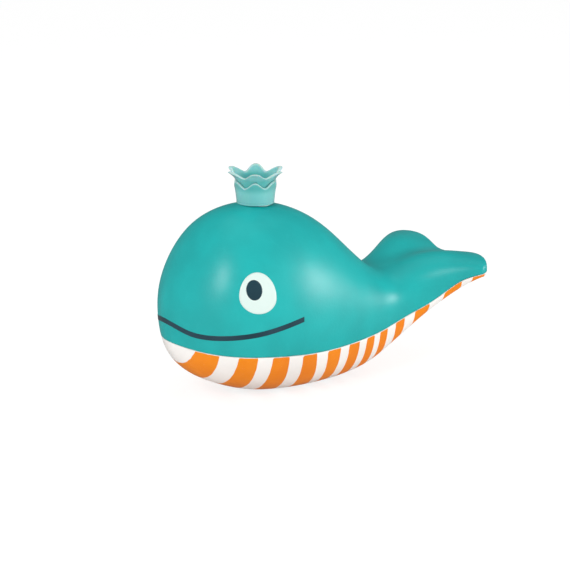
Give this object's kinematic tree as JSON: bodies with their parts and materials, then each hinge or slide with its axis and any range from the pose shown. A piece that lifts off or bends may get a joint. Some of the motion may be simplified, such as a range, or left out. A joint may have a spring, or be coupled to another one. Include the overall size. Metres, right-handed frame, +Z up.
{
  "type": "whale bath squirt toy",
  "caption": "Hollow soft whale bath toy with a lift-out scalloped crown that is its spout: squeezing the belly sends water up the dip tube.",
  "frame": {"origin": "centre of the bounding box in plan, on the surface the belly rests on", "axes": "+X from the nose to the tail, +Y to the whale's right side, +Z up out of the crown"},
  "size_m": [0.1752, 0.0892, 0.1164],
  "materials": {
    "teal_vinyl": "satin soft vinyl",
    "striped_vinyl": "white satin soft vinyl with orange stripes",
    "clear_teal": "translucent gloss teal",
    "seal_rubber": "black rubber",
    "white_plastic": "white moulded plastic",
    "tube_plastic": "milky soft tube",
    "white_ink": "white print",
    "dark_ink": "dark slate print"
  },
  "bodies": {
    "back": {"back_shell": "teal_vinyl", "neck_sleeve": "white_plastic", "dip_tube": "tube_plastic", "left_eye_white": "white_ink", "right_eye_white": "white_ink", "left_pupil": "dark_ink", "right_pupil": "dark_ink", "mouth_line": "dark_ink"},
    "belly": {"belly_shell": "striped_vinyl"},
    "crown": {"crown_cup": "clear_teal", "crown_collar": "clear_teal", "crown_seal": "seal_rubber"}
  },
  "joints": [
    {"name": "belly_squeeze", "type": "slide", "parent": "back", "child": "belly", "axis": [0, 0, 1], "range_m": [0, 0.008], "stiffness_N_per_m": 1500, "springref_m": -0.002, "deforming": ["belly_shell"]},
    {"name": "crown_pull", "type": "slide", "parent": "back", "child": "crown", "axis": [0, 0, 1], "range_m": [0, 0.014]}
  ]
}
